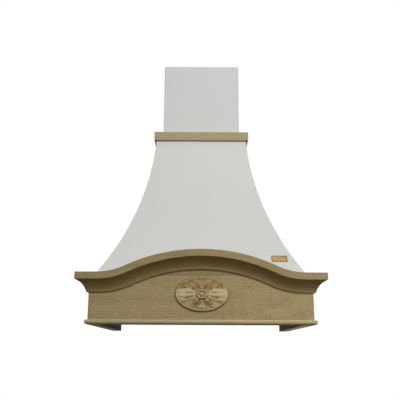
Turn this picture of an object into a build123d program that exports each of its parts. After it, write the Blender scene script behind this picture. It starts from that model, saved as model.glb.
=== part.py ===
"""Wooden range hood cover for a wall, 600 mm wide: an oak box with an arched crown
moulding, a flared dome of painted panels on plywood ribs, and a chimney that slides
up through an oak collar.

Millimetres. +X is to the right, the front faces -Y, the wall is the plane Y = 0.
Heights in this file are measured from the bottom rim; write_part moves each piece
down so that the origin lies between the two upper wall holes, on the wall.
"""

from build123d import *
import math
import os

# Oak box: three boards mitred at the front corners, standing on a nosed ledge.
box_width = 540.0
box_depth = 470.0
board_thickness = 24.0
board_height = 104.0
corner_round = 4.0
ledge_thickness = 11.0
ledge_overhang = 6.0
ledge_top_round = 3.0
ledge_bottom_round = 5.0

# Crown moulding: fascia, cove and foot, arched over the front.
crown_projection = 30.0
fascia_height = 16.5
cove_drop = 28.5
cove_radius = 39.0
foot_projection = 5.0
arch_rise = 55.5
arch_half_span = 250.0
arch_crest_radius = 430.0

# Rosette on the front board, glued slightly to the right of the middle.
rosette_width = 124.0
rosette_height = 80.0
rosette_centre_height = 72.0
rosette_offset = 2.0
plaque_thickness = 6.0
plaque_bevel_in = 5.0
plaque_bevel_down = 3.0
petal_count = 8
petal_half_width = 13.0
petal_height = 11.0
petal_margin = 2.0
boss_radius = 13.0
boss_height = 13.0
boss_bevel = 3.0

# Deck on top of the box, which carries the ribs.
deck_thickness = 6.0
deck_rim = 50.0
cleat_size = 20.0

# Bearers for the hood insert, and the rail that is screwed low on the wall.
bearer_width = 18.0
bearer_height = 20.0
bearer_rise = 12.0
insert_hole_radius = 2.25
insert_hole_spacing = 250.0
block_size = 25.0
rail_thickness = 18.0
lower_rail_height = 65.0
lower_hole_spacing = 380.0

# Dome: painted panels bent over ribs.
dome_height = 418.0
dome_side_setback = 9.0
skin_thickness = 6.0
skin_corner_round = 2.0
side_flare_radius = 990.0
front_flare_radius = 790.0
rib_thickness = 18.0
rib_width = 45.0
side_rib_from_wall = 130.0
hanging_rail_height = 55.0
wall_hole_radius = 3.5
wall_hole_spacing = 200.0
collar_plate_thickness = 18.0

# Oak band that caps the dome round the chimney.
band_height = 26.0
band_reach = 25.0
band_overhang = 6.5
band_round = 1.5

# Chimney, which slides in the band and rests on two rails.
chimney_width = 225.0
chimney_depth = 225.0
chimney_wall = 10.0
chimney_length = 485.0
chimney_corner_round = 3.0
chimney_clearance = 1.0
seat_height = 300.0
seat_bearing = 8.5
seat_rail_depth = 18.0
batten_size = 18.0
batten_setback = 5.0
tie_height = 40.0
tie_setback = 10.0
tie_hole_radius = 2.5
tie_hole_spacing = 140.0

# Levels and faces that follow from the sizes above.
half_box = box_width / 2
inner_half = half_box - board_thickness
inner_depth = box_depth - board_thickness
board_top = ledge_thickness + board_height
deck_top = board_top + deck_thickness
crown_height = fascia_height + cove_drop
crown_foot = deck_top - crown_height
dome_top = deck_top + dome_height
band_top = dome_top + band_height
plate_base = dome_top - collar_plate_thickness
half_chimney = chimney_width / 2
half_band = half_chimney + band_reach
band_depth = chimney_depth + band_reach
dome_base_half = half_box - dome_side_setback
dome_top_half = half_band - band_overhang
dome_top_depth = band_depth - band_overhang
fixing_height = seat_height - hanging_rail_height / 2
margin = 20.0  # how far cutting tools reach past what they cut

UP, LEFT, RIGHT = (0, 0, 1), (-1, 0, 0), (1, 0, 0)
FORWARD, BACK = (0, -1, 0), (0, 1, 0)


def block(x0, x1, y0, y1, z0, z1):
    """A box between two corners."""
    centre = Pos((x0 + x1) / 2, (y0 + y1) / 2, (z0 + z1) / 2)
    return centre * Box(x1 - x0, y1 - y0, z1 - z0)


def write_part(name, shape):
    """Writes one sub-part, moved so that the origin is at the upper wall fixing."""
    export_step(Pos(0, 0, -fixing_height) * shape, f"parts/{name}.step")


def plan_prism(points, z0, z1):
    """A prism over a plan outline."""
    return Pos(0, 0, z0) * extrude(make_face(Polyline(*points, close=True)), z1 - z0, UP)


def mitre_zones(half, depth, outward, inward, z0, z1):
    """The front, left and right zones that a U of three mitred runs is cut into."""
    front = [
        (-half - outward, -depth - outward),
        (half + outward, -depth - outward),
        (half - inward, -depth + inward),
        (-half + inward, -depth + inward),
    ]
    left = [front[0], front[3], (-half + inward, 0), (-half - outward, 0)]
    right = [(-x, y) for x, y in left]
    return {
        "front": plan_prism(front, z0, z1),
        "left": plan_prism(left, z0, z1),
        "right": plan_prism(right, z0, z1),
    }


def arc_through(start, end, radius, side):
    """An arc of a given radius between two points, bulging to the left (side 1) or right."""
    (x0, y0), (x1, y1) = start, end
    chord = math.hypot(x1 - x0, y1 - y0)
    sagitta = radius - math.sqrt(radius**2 - (chord / 2) ** 2)
    nx, ny = -(y1 - y0) / chord * side, (x1 - x0) / chord * side
    middle = ((x0 + x1) / 2 + nx * sagitta, (y0 + y1) / 2 + ny * sagitta)
    return ThreePointArc(start, middle, end)


# ---------------------------------------------------------------- oak box


def oak_boards():
    """Front and side boards, mitred, with the outer corners rounded."""
    outer = block(-half_box, half_box, -box_depth, 0, ledge_thickness, board_top)
    corners = outer.edges().filter_by(Axis.Z).sort_by(Axis.Y)[:2]
    outer = fillet(corners, corner_round)
    inner = block(-inner_half, inner_half, -inner_depth, margin, 0, board_top + margin)
    ring = outer - inner
    zones = mitre_zones(half_box, box_depth, margin, board_thickness, 0, board_top)
    return {side: ring & zone for side, zone in zones.items()}


def ledge_section():
    """Section of the ledge: outward from the inner face of the boards, and up."""
    width = board_thickness + ledge_overhang
    outline = Polyline(
        (0, 0), (width, 0), (width, ledge_thickness), (0, ledge_thickness), close=True
    )
    face = make_face(outline)
    nose = face.vertices().sort_by(Axis.X)[2:]
    face = fillet(nose.sort_by(Axis.Y)[0], ledge_bottom_round)
    upper = face.vertices().sort_by(Axis.Y)[-2:].sort_by(Axis.X)[-1]
    return fillet(upper, ledge_top_round)


def mitred_runs(section, half, depth, outward, inward, z0, z1):
    """Three straight runs of a section that stands outward from a U of faces."""
    zones = mitre_zones(half, depth, outward + margin, inward, z0 - margin, z1 + margin)
    reach = half + outward + margin
    across = Plane((-reach, -depth, 0), x_dir=FORWARD, z_dir=LEFT)
    front_run = extrude(across * section, 2 * reach, RIGHT) & zones["front"]
    along = Plane((half, 0, 0), x_dir=RIGHT, z_dir=FORWARD)
    right_run = extrude(along * section, depth + outward + margin, FORWARD) & zones["right"]
    left_run = mirror(right_run, about=Plane.YZ)
    return {"front": front_run, "left": left_run, "right": right_run}


def oak_ledges():
    """The nosed ledge under the boards."""
    section = Pos(-board_thickness, 0) * ledge_section()
    return mitred_runs(
        section, half_box, box_depth, ledge_overhang, board_thickness, 0, ledge_thickness
    )


def crown_section():
    """Section of the crown: outward from the box face, and up from its top edge."""
    tip = (crown_projection, -fascia_height)
    foot = (foot_projection, -crown_height)
    cove = arc_through(tip, foot, cove_radius, -1)
    outline = (
        Polyline((foot_projection, -crown_height), (0, -crown_height), (0, 0),
                 (crown_projection, 0), tip)
        + cove
    )
    return make_face(outline)


def arch_edges():
    """The arch's top edge as lines and tangent arcs, seen from the front: (x, height)."""
    turn = 2 * math.atan(arch_rise / arch_half_span)
    spring_radius = arch_half_span / math.sin(turn) - arch_crest_radius
    crest = deck_top + arch_rise
    bend_x = arch_crest_radius * math.sin(turn)
    bend_z = crest - arch_crest_radius * (1 - math.cos(turn))
    half_turn = turn / 2
    spring_x = arch_half_span - spring_radius * math.sin(half_turn)
    spring_z = deck_top + spring_radius * (1 - math.cos(half_turn))
    wing = half_box + crown_projection + margin
    return [
        Line((-wing, deck_top), (-arch_half_span, deck_top)),
        ThreePointArc((-arch_half_span, deck_top), (-spring_x, spring_z), (-bend_x, bend_z)),
        ThreePointArc((-bend_x, bend_z), (0, crest), (bend_x, bend_z)),
        ThreePointArc((bend_x, bend_z), (spring_x, spring_z), (arch_half_span, deck_top)),
        Line((arch_half_span, deck_top), (wing, deck_top)),
    ]


def oak_crown():
    """The arched front run, swept along the arch, and two straight returns."""
    section = Pos(0, deck_top) * crown_section()
    runs = mitred_runs(
        section, half_box, box_depth, crown_projection, 0, crown_foot, deck_top
    )
    path = Plane.XZ.offset(box_depth) * Wire(arch_edges())
    wing = half_box + crown_projection + margin
    start = Plane((-wing, -box_depth, deck_top), x_dir=FORWARD, z_dir=LEFT)
    swept = sweep(start * crown_section(), path=path)
    crest = deck_top + arch_rise
    zones = mitre_zones(half_box, box_depth, crown_projection + margin, 0, 0, crest + margin)
    runs["front"] = swept & zones["front"]
    return runs


def arch_board():
    """Backs the crown above the front board, and follows the arch's top edge."""
    edges = arch_edges()
    wing = half_box + crown_projection + margin
    closing = Polyline((wing, deck_top), (wing, board_top), (-wing, board_top), (-wing, deck_top))
    face = make_face(Plane.XZ * (Curve() + edges + closing))
    slab = Pos(0, -inner_depth, 0) * extrude(face, board_thickness, FORWARD)
    crest = deck_top + arch_rise
    limits = block(-half_box, half_box, -box_depth, -inner_depth, board_top, crest)
    return slab & limits


def keeled_petal(tip):
    """A leaf outline from the boss out to tip, under a ridge that runs along it."""
    root = boss_radius - petal_margin
    middle = (root + tip) / 2
    upper = ThreePointArc((root, 0), (middle, petal_half_width), (tip, 0))
    lower = ThreePointArc((tip, 0), (middle, -petal_half_width), (root, 0))
    leaf = extrude(make_face(upper + lower), petal_height, UP)
    slope = Polyline((-petal_half_width, 0), (petal_half_width, 0),
                     (petal_half_width, plaque_thickness), (0, petal_height),
                     (-petal_half_width, plaque_thickness), close=True)
    return leaf & extrude(make_face(Plane.YZ * slope), tip, RIGHT)


def rosette():
    """A bevelled oval plaque with keeled petals round a boss."""
    half_w, half_h = rosette_width / 2, rosette_height / 2
    carving = extrude(Ellipse(half_w, half_h), plaque_thickness)
    rim = carving.edges().sort_by(Axis.Z)[-1]
    edge_face = carving.faces().sort_by(Axis.Z)[1]
    carving = chamfer(rim, plaque_bevel_down, plaque_bevel_in, reference=edge_face)
    for k in range(petal_count):
        angle = 2 * math.pi * k / petal_count
        reach = half_w * half_h / math.hypot(half_h * math.cos(angle), half_w * math.sin(angle))
        carving += Rot(0, 0, math.degrees(angle)) * keeled_petal(reach - petal_margin)
    boss = extrude(Circle(boss_radius), boss_height)
    carving += chamfer(boss.edges().sort_by(Axis.Z)[-1], boss_bevel)
    middle = (rosette_offset, -box_depth, rosette_centre_height)
    front = Plane(middle, x_dir=RIGHT, z_dir=FORWARD)
    return front * carving


# ---------------------------------------------------------------- inside the box


def deck_ring():
    """Thin plywood frame on the boards, under the dome."""
    outer = block(-half_box, half_box, -inner_depth, 0, board_top, deck_top)
    hole_half = inner_half - deck_rim
    hole = block(-hole_half, hole_half, -inner_depth + deck_rim, -deck_rim,
                 board_top - margin, deck_top + margin)
    return outer - hole


def box_cleats(size_in, size_up, z0):
    """Battens along the inner faces: the side ones run to the wall rail."""
    z1 = z0 + size_up
    side_front = -inner_depth + size_in
    return {
        "left": block(-inner_half, -inner_half + size_in, side_front, -rail_thickness, z0, z1),
        "right": block(inner_half - size_in, inner_half, side_front, -rail_thickness, z0, z1),
        "front": block(-inner_half, inner_half, -inner_depth, side_front, z0, z1),
    }


def insert_holes():
    """The four holes that a hood insert is screwed into, from below."""
    x = inner_half - bearer_width / 2
    for sx in (-x, x):
        for sy in (-0.5, 0.5):
            y = -inner_depth / 2 + sy * insert_hole_spacing
            base = Pos(sx, y, ledge_thickness + bearer_rise + bearer_height / 2)
            yield base * Cylinder(insert_hole_radius, bearer_height + margin)


def corner_blocks():
    """Glue blocks in the front corners, between bearers and cleats."""
    z0 = ledge_thickness + bearer_rise + bearer_height
    z1 = board_top - cleat_size
    right = block(inner_half - block_size, inner_half, -inner_depth,
                  -inner_depth + block_size, z0, z1)
    return {"left": mirror(right, about=Plane.YZ), "right": right}


def wall_holes(spacing, height, radius):
    """Two horizontal holes to the wall, side by side."""
    for x in (-spacing / 2, spacing / 2):
        turned = Pos(x, -rail_thickness / 2, height) * Rot(90, 0, 0)
        yield turned * Cylinder(radius, rail_thickness + margin)


def lower_wall_rail():
    """Ties the side boards at the wall, under the deck."""
    rail = block(-inner_half, inner_half, -rail_thickness, 0,
                 board_top - lower_rail_height, board_top)
    height = board_top - lower_rail_height / 2
    for hole in wall_holes(lower_hole_spacing, height, wall_hole_radius):
        rail -= hole
    return rail


# ---------------------------------------------------------------- dome


def flare(base, top, radius, inset):
    """A flare's curve as (reach, height) points at base, middle and top, set in by inset.

    The curve is an arc of the given radius that is hollow on the outside; a curve
    set in lies on the same centre.
    """
    rise = dome_top - deck_top
    run = base - top
    chord = math.hypot(run, rise)
    apothem = math.sqrt(radius**2 - (chord / 2) ** 2)
    centre_reach = (base + top) / 2 + apothem * rise / chord
    centre_height = (deck_top + dome_top) / 2 + apothem * run / chord
    inner_radius = radius + inset

    def reach(height):
        return centre_reach - math.sqrt(inner_radius**2 - (height - centre_height) ** 2)

    heights = (deck_top, (deck_top + dome_top) / 2, dome_top)
    return [(reach(height), height) for height in heights]


def side_prism(inset):
    """Everything between the left and right flares, from front to wall."""
    (x0, z0), (x1, z1), (x2, z2) = flare(
        dome_base_half, dome_top_half, side_flare_radius, inset
    )
    outline = (
        ThreePointArc((x0, z0), (x1, z1), (x2, z2))
        + Line((x2, z2), (-x2, z2))
        + ThreePointArc((-x2, z2), (-x1, z1), (-x0, z0))
        + Line((-x0, z0), (x0, z0))
    )
    return extrude(make_face(Plane.XZ * outline), box_depth, FORWARD)


def front_prism(inset):
    """Everything behind the front flare, across the full width."""
    (y0, z0), (y1, z1), (y2, z2) = flare(
        inner_depth, dome_top_depth, front_flare_radius, inset
    )
    outline = (
        ThreePointArc((-y0, z0), (-y1, z1), (-y2, z2))
        + Polyline((-y2, z2), (0, z2), (0, z0), (-y0, z0))
    )
    face = make_face(Plane.YZ * outline)
    return Pos(-half_box, 0, 0) * extrude(face, box_width, RIGHT)


def dome_volume(inset):
    """The dome's solid form, set in from its painted surface."""
    return side_prism(inset) & front_prism(inset)


def dome_skins():
    """The bent panels: the front one laps the edges of the side ones."""
    outer = dome_volume(0)
    corners = outer.edges().filter_by(
        lambda edge: edge.center().Y < -dome_top_depth and edge.geom_type != GeomType.LINE
    )
    hips = [e for e in corners if abs(e.center().X) > dome_top_half and e.length > dome_height]
    outer = fillet(hips, skin_corner_round)
    front_inner = front_prism(skin_thickness)
    front = outer - front_inner
    sides = (outer & front_inner) - side_prism(skin_thickness)
    left, right = sides.solids().sort_by(Axis.X)
    return {"front": front, "left": left, "right": right}


def chimney_way():
    """The space that the chimney moves through, with its clearance."""
    half = half_chimney + chimney_clearance
    depth = chimney_depth + chimney_clearance
    return block(-half, half, -depth, margin, seat_height, band_top + margin)


def rib_stock():
    """A hollow dome as thick as the ribs are wide, between deck and collar plate."""
    inner = dome_volume(skin_thickness)
    core = dome_volume(skin_thickness + rib_width)
    stock = inner - core - chimney_way()
    return stock & block(-half_box, half_box, -box_depth, 0, deck_top, plate_base)


def seat_span():
    """Nearest and farthest x of a seat rail, from the middle."""
    near = half_chimney - seat_bearing
    return near, near + rib_thickness


def hip_slab():
    """An upright slab through the dome's right front corner, from top to base."""
    run_x = dome_base_half - dome_top_half
    run_y = inner_depth - dome_top_depth
    angle = math.degrees(math.atan2(run_x, run_y))
    slab = Box(rib_thickness, 2 * box_depth, 4 * dome_height)
    return Pos(dome_base_half, -inner_depth, dome_top) * Rot(0, 0, angle) * slab


def main_body(shape):
    """The largest solid of a cut, without slivers."""
    return shape.solids().sort_by(SortBy.VOLUME)[-1]


def dome_ribs():
    """The four right-hand ribs, each cut from the hollow dome by a slab."""
    stock = rib_stock()
    near, far = seat_span()
    right_stock = stock & block(0, half_box, -box_depth, 0, deck_top, plate_base)
    y = -side_rib_from_wall
    slabs = {
        "rear": block(0, half_box, -rib_thickness, 0, deck_top, plate_base),
        "side": block(0, half_box, y - rib_thickness / 2, y + rib_thickness / 2,
                      deck_top, plate_base),
        "front": block(near, far, -box_depth, -chimney_depth - chimney_clearance,
                       deck_top, plate_base),
        "hip": hip_slab() & block(far, half_box, -box_depth, 0, deck_top, plate_base),
    }
    return {name: main_body(right_stock & slab) for name, slab in slabs.items()}


def rail_zone(y0, y1):
    """The hanging rail's height band, between two distances from the wall."""
    return block(-half_box, half_box, y0, y1, seat_height - hanging_rail_height, seat_height)


def hanging_rail(rear_ribs):
    """The rail that the cover hangs by, halved over the rear ribs."""
    rail = dome_volume(skin_thickness) & rail_zone(-rail_thickness, 0)
    for rib in rear_ribs:
        rail -= rib & rail_zone(-rail_thickness, -rail_thickness / 2)
    for hole in wall_holes(wall_hole_spacing, fixing_height, wall_hole_radius):
        rail -= hole
    return rail


def seat_rail(front_rib):
    """The right-hand rail under the chimney, from the hanging rail to the front rib."""
    near, far = seat_span()
    rail = block(near, far, -inner_depth, -rail_thickness,
                 seat_height - seat_rail_depth, seat_height)
    pieces = (rail - front_rib).solids().sort_by(Axis.Y)
    return pieces[-1]


def collar_plate():
    """Plywood plate at the top of the dome, open to the wall."""
    slab = block(-half_box, half_box, -box_depth, 0, plate_base, dome_top)
    return (dome_volume(skin_thickness) & slab) - chimney_way()


def oak_band():
    """The flat band on top of the dome, mitred like the boards."""
    width = band_reach - chimney_clearance
    section = make_face(Polyline((0, 0), (width, 0), (width, band_height), (0, band_height),
                                 close=True))
    section = fillet(section.vertices().sort_by(Axis.X)[2:], band_round)
    half = half_chimney + chimney_clearance
    depth = chimney_depth + chimney_clearance
    return mitred_runs(Pos(0, dome_top) * section, half, depth, width, 0, dome_top, band_top)


# ---------------------------------------------------------------- chimney


def chimney_panels():
    """Front panel over two side panels, all to the wall."""
    top = seat_height + chimney_length
    outer = block(-half_chimney, half_chimney, -chimney_depth, 0, seat_height, top)
    corners = outer.edges().filter_by(Axis.Z).sort_by(Axis.Y)[:2]
    outer = fillet(corners, chimney_corner_round)
    half_inner = half_chimney - chimney_wall
    behind_front = block(-half_chimney, half_chimney, -chimney_depth + chimney_wall, 0,
                         seat_height, top)
    core = block(-half_inner, half_inner, -chimney_depth, margin, seat_height, top)
    sides = ((outer & behind_front) - core).solids().sort_by(Axis.X)
    return {"front": outer - behind_front, "left": sides[0], "right": sides[1]}


def chimney_battens():
    """Glue battens in the chimney's front corners."""
    face = half_chimney - chimney_wall
    back = -chimney_depth + chimney_wall
    right = block(face - batten_size, face, back, back + batten_size,
                  seat_height + batten_setback, seat_height + chimney_length - batten_setback)
    return {"left": mirror(right, about=Plane.YZ), "right": right}


def chimney_tie(base, holes):
    """A batten between the side panels at the wall."""
    half = half_chimney - chimney_wall
    tie = block(-half, half, -rail_thickness, 0, base, base + tie_height)
    if holes:
        for hole in wall_holes(tie_hole_spacing, base + tie_height / 2, tie_hole_radius):
            tie -= hole
    return tie


# ---------------------------------------------------------------- build


def main():
    """Builds and writes every sub-part."""
    os.makedirs("parts", exist_ok=True)
    pieces = {}

    for side, board in oak_boards().items():
        name = "front_board" if side == "front" else f"{side}_side_board"
        pieces[name] = board
    for side, run in oak_ledges().items():
        pieces[f"{side}_ledge"] = run
    for side, run in oak_crown().items():
        pieces["arched_crown" if side == "front" else f"{side}_crown_return"] = run
    pieces["arch_board"] = arch_board()
    pieces["rosette"] = rosette()

    bearer_base = ledge_thickness + bearer_rise
    for side, bearer in box_cleats(bearer_width, bearer_height, bearer_base).items():
        for hole in insert_holes():
            bearer -= hole
        pieces[f"{side}_insert_bearer"] = bearer
    for side, cleat in box_cleats(cleat_size, cleat_size, board_top - cleat_size).items():
        pieces[f"{side}_deck_cleat"] = cleat
    for side, glue_block in corner_blocks().items():
        pieces[f"{side}_corner_block"] = glue_block
    pieces["lower_wall_rail"] = lower_wall_rail()
    pieces["deck_ring"] = deck_ring()

    for side, skin in dome_skins().items():
        pieces[f"{side}_skin"] = skin
    ribs = dome_ribs()
    rear_pair = [ribs["rear"], mirror(ribs["rear"], about=Plane.YZ)]
    pieces["hanging_rail"] = hanging_rail(rear_pair)
    pieces["right_seat_rail"] = seat_rail(ribs["front"])
    pieces["left_seat_rail"] = mirror(pieces["right_seat_rail"], about=Plane.YZ)
    ribs["rear"] -= rail_zone(-rail_thickness / 2, margin)
    for place, rib in ribs.items():
        pieces[f"right_{place}_rib"] = rib
        pieces[f"left_{place}_rib"] = mirror(rib, about=Plane.YZ)

    pieces["collar_plate"] = collar_plate()
    for side, run in oak_band().items():
        pieces[f"{side}_band"] = run

    for side, panel in chimney_panels().items():
        pieces[f"chimney_{side}_panel"] = panel
    for side, batten in chimney_battens().items():
        pieces[f"{side}_chimney_batten"] = batten
    tie_top = seat_height + chimney_length - tie_setback - tie_height
    pieces["upper_chimney_tie"] = chimney_tie(tie_top, holes=True)
    pieces["lower_chimney_tie"] = chimney_tie(seat_height, holes=False)

    for name, shape in pieces.items():
        write_part(name, shape)
    print(len(pieces), "sub-parts written")


main()
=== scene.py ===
"""Looks of a wooden range hood cover: raw oak box, crown and band, painted dome and chimney.

Everything is in metres in the CAD frame: +X to the right, the wall is the plane Y = 0, and
the origin lies between the two upper wall holes.
"""
import logging
import math
from dataclasses import dataclass, field
from enum import Enum
from typing import Any, ClassVar

import bmesh
import bpy
from mathutils import Matrix, Vector, noise
from mathutils.bvhtree import BVHTree


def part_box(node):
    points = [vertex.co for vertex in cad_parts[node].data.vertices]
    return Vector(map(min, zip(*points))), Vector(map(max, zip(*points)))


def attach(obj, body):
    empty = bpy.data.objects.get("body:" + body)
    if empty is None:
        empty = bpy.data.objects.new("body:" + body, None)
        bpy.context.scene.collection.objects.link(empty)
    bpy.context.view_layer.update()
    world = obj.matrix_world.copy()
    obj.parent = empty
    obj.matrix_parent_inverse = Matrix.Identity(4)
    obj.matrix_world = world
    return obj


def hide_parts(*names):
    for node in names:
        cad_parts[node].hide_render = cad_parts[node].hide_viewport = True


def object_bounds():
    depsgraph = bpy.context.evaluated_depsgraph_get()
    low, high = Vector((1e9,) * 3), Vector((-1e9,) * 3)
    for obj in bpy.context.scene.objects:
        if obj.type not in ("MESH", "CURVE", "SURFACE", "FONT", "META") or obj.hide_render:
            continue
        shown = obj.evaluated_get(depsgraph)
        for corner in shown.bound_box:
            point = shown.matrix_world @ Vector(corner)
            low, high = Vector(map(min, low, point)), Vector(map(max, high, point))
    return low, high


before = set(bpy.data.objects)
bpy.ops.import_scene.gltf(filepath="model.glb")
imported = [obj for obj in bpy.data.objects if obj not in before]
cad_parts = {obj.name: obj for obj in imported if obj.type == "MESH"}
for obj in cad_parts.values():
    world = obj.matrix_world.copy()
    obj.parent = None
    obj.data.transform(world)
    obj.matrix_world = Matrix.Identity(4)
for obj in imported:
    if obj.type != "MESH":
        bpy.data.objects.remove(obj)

CAD_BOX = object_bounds()
LOG = logging.getLogger("range_hood_cover")
MM = 0.001

Pair = tuple[float, float]
Colour = tuple[float, float, float]
Direction = tuple[float, float, float]
Material = bpy.types.Material
Mesh = bmesh.types.BMesh

DOWN = (0.0, 0.0, -1.0)
BACK = (0.0, 1.0, 0.0)
HANDS = (("left", -1.0), ("right", 1.0))
SHARP_EDGE = math.radians(38.0)


# ---- shader maths


class Flow:
    """A number, colour or vector on its way through a material's nodes."""

    def __init__(self, graph: "Graph", socket: bpy.types.NodeSocket) -> None:
        """Keeps the graph and the output that the value comes from."""
        self.graph = graph
        self.socket = socket

    def _math(self, operation: str, first: Any, second: Any = 0.0) -> "Flow":
        """The result of one maths node."""
        node = self.graph.node("ShaderNodeMath", {"operation": operation}, {0: first, 1: second})
        return self.graph.flow(node)

    def __add__(self, other: Any) -> "Flow":
        """This plus the other."""
        return self._math("ADD", self, other)

    def __sub__(self, other: Any) -> "Flow":
        """This less the other."""
        return self._math("SUBTRACT", self, other)

    def __rsub__(self, other: Any) -> "Flow":
        """The other less this."""
        return self._math("SUBTRACT", other, self)

    def __mul__(self, other: Any) -> "Flow":
        """This times the other."""
        return self._math("MULTIPLY", self, other)

    def __truediv__(self, other: Any) -> "Flow":
        """This divided by the other."""
        return self._math("DIVIDE", self, other)

    def __pow__(self, other: Any) -> "Flow":
        """This to the power of the other."""
        return self._math("POWER", self, other)

    __radd__, __rmul__ = __add__, __mul__

    def greater(self, limit: Any) -> "Flow":
        """1 where this is above the limit, else 0."""
        return self._math("GREATER_THAN", self, limit)

    def fraction(self) -> "Flow":
        """The part after the decimal point."""
        return self._math("FRACT", self)

    def sine(self) -> "Flow":
        """The sine of this angle in radians."""
        return self._math("SINE", self)

    def root(self) -> "Flow":
        """The square root."""
        return self._math("SQRT", self)

    def absolute(self) -> "Flow":
        """The value without its sign."""
        return self._math("ABSOLUTE", self)


@dataclass(frozen=True)
class Streaks:
    """Noise drawn out along the grain: its scale along and across it, and its detail."""

    along: float
    across: float
    detail: float = 3.0


@dataclass(frozen=True)
class Relief:
    """How deep the fine surface of a finish is, in metres, and how strongly it shows."""

    depth: float
    strength: float


class Graph:
    """A material with a Principled shader, and short ways to add nodes to it."""

    def __init__(self) -> None:
        """Makes the material and finds its shader."""
        self.material = bpy.data.materials.new("finish")
        self.material.use_nodes = True
        self.tree = self.material.node_tree
        self.shader = next(n for n in self.tree.nodes if n.type == "BSDF_PRINCIPLED")

    def node(self, kind: str, settings: dict[str, Any], inputs: dict[Any, Any]) -> bpy.types.Node:
        """Adds any node.

        Args:
            kind: the node's type, such as ShaderNodeTexNoise.
            settings: properties of the node, set before its sockets.
            inputs: values or flows by socket name or number.

        Returns:
            The new node.
        """
        made = self.tree.nodes.new(kind)
        for key, value in settings.items():
            setattr(made, key, value)
        for key, value in inputs.items():
            self.feed(made.inputs[key], value)
        return made

    def feed(self, socket: bpy.types.NodeSocket, value: Any) -> None:
        """Gives a socket its value.

        Args:
            socket: the input socket.
            value: a flow, which is linked, or a constant.
        """
        if isinstance(value, Flow):
            self.tree.links.new(value.socket, socket)
        else:
            socket.default_value = value

    def shade(self, **values: Any) -> None:
        """Feeds the shader's sockets, each named with _ for its spaces."""
        for name, value in values.items():
            self.feed(self.shader.inputs[name.replace("_", " ")], value)

    def flow(self, node: bpy.types.Node, output: Any = 0) -> Flow:
        """Wraps one output of a node."""
        return Flow(self, node.outputs[output])

    def place(self) -> Flow:
        """The object coordinates, in metres."""
        return self.flow(self.node("ShaderNodeTexCoord", {}, {}), "Object")

    def axes(self) -> tuple[Flow, Flow, Flow]:
        """The object coordinates X, Y and Z, in metres."""
        split = self.node("ShaderNodeSeparateXYZ", {}, {0: self.place()})
        return self.flow(split, 0), self.flow(split, 1), self.flow(split, 2)

    def vector(self, x: Any, y: Any, z: Any) -> Flow:
        """A vector from three numbers or flows."""
        return self.flow(self.node("ShaderNodeCombineXYZ", {}, {0: x, 1: y, 2: z}))

    def noise(self, place: Flow, scale: float, detail: float = 2.0, rough: float = 0.5) -> Flow:
        """Soft noise between 0 and 1 at a place."""
        made = self.node("ShaderNodeTexNoise", {},
                         {"Vector": place, "Scale": scale, "Detail": detail, "Roughness": rough})
        return self.flow(made, "Fac")

    def streaks(self, axes: tuple[Flow, Flow, Flow], kind: Streaks) -> Flow:
        """Noise drawn out along the first of three axes."""
        place = self.vector(axes[0] * kind.along, axes[1] * kind.across, axes[2] * kind.across)
        return self.noise(place, 1.0, kind.detail)

    def grain(self, scales: tuple[float, float, float]) -> Flow:
        """Noise on the object coordinates, with a scale for each axis."""
        place = self.vector(*(axis * scale for axis, scale in zip(self.axes(), scales)))
        return self.noise(place, 1.0, 3.0)

    def ramp(self, factor: Flow, stops: list[tuple[float, Colour]]) -> Flow:
        """A colour that changes with a factor.

        Args:
            factor: a flow between 0 and 1.
            stops: the colours and where each stands.

        Returns:
            The colour.
        """
        made = self.node("ShaderNodeValToRGB", {}, {"Fac": factor})
        elements = made.color_ramp.elements
        for _ in stops[2:]:
            elements.new(0.5)
        for element, (place, colour) in zip(elements, stops):
            element.position = place
            element.color = (*colour, 1.0)
        return self.flow(made, "Color")

    def blend(self, factor: Any, first: Any, second: Any) -> Flow:
        """A mix of two colours.

        Args:
            factor: 0 for the first colour, 1 for the second.
            first: a colour or a flow.
            second: a colour or a flow.

        Returns:
            The mixed colour.
        """
        made = self.node("ShaderNodeMix", {"data_type": "RGBA"}, {0: factor})
        for socket, value in ((made.inputs[6], first), (made.inputs[7], second)):
            self.feed(socket, value if isinstance(value, Flow) else (*value, 1.0))
        return self.flow(made, 2)

    def tint(self, colour: Any, factor: Flow) -> Flow:
        """A colour made lighter or darker by a factor round 1."""
        made = self.node("ShaderNodeVectorMath", {"operation": "SCALE"},
                         {"Vector": colour, "Scale": factor})
        return self.flow(made)

    def smooth_step(self, value: Flow, low: float, high: float) -> Flow:
        """0 at low, 1 at high, and smooth between; low may be the larger."""
        made = self.node("ShaderNodeMapRange", {"interpolation_type": "SMOOTHSTEP"},
                         {"Value": value, "From Min": low, "From Max": high})
        return self.flow(made)

    def attribute(self, name: str) -> Flow:
        """A number that the mesh carries at its vertices."""
        return self.flow(self.node("ShaderNodeAttribute", {"attribute_name": name}, {}), "Fac")

    def dot(self, vector: Flow, direction: Direction) -> Flow:
        """How far a vector runs in a direction."""
        made = self.node("ShaderNodeVectorMath", {"operation": "DOT_PRODUCT"},
                         {0: vector, 1: direction})
        return self.flow(made, "Value")

    def facing(self, direction: Direction) -> Flow:
        """How far the surface faces a direction, from -1 to 1."""
        normal = self.flow(self.node("ShaderNodeNewGeometry", {}, {}), "Normal")
        return self.dot(normal, direction)

    def finish(self, colour: Flow, roughness: Any, height: Flow, relief: Relief) -> Material:
        """Feeds the shader and returns the material.

        Args:
            colour: the base colour.
            roughness: a number or a flow.
            height: the bump's height, about 0 to 1.
            relief: how deep the bump is and how strongly it shows.

        Returns:
            The finished material.
        """
        bump = self.node("ShaderNodeBump", {}, {"Strength": relief.strength,
                                                "Distance": relief.depth, "Height": height})
        self.shade(Base_Color=colour, Roughness=roughness, Normal=self.flow(bump))
        return self.material


# ---- finishes


class Along(Enum):
    """The axis that the grain of a piece runs along."""

    X = 0
    Y = 1
    Z = 2


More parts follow.
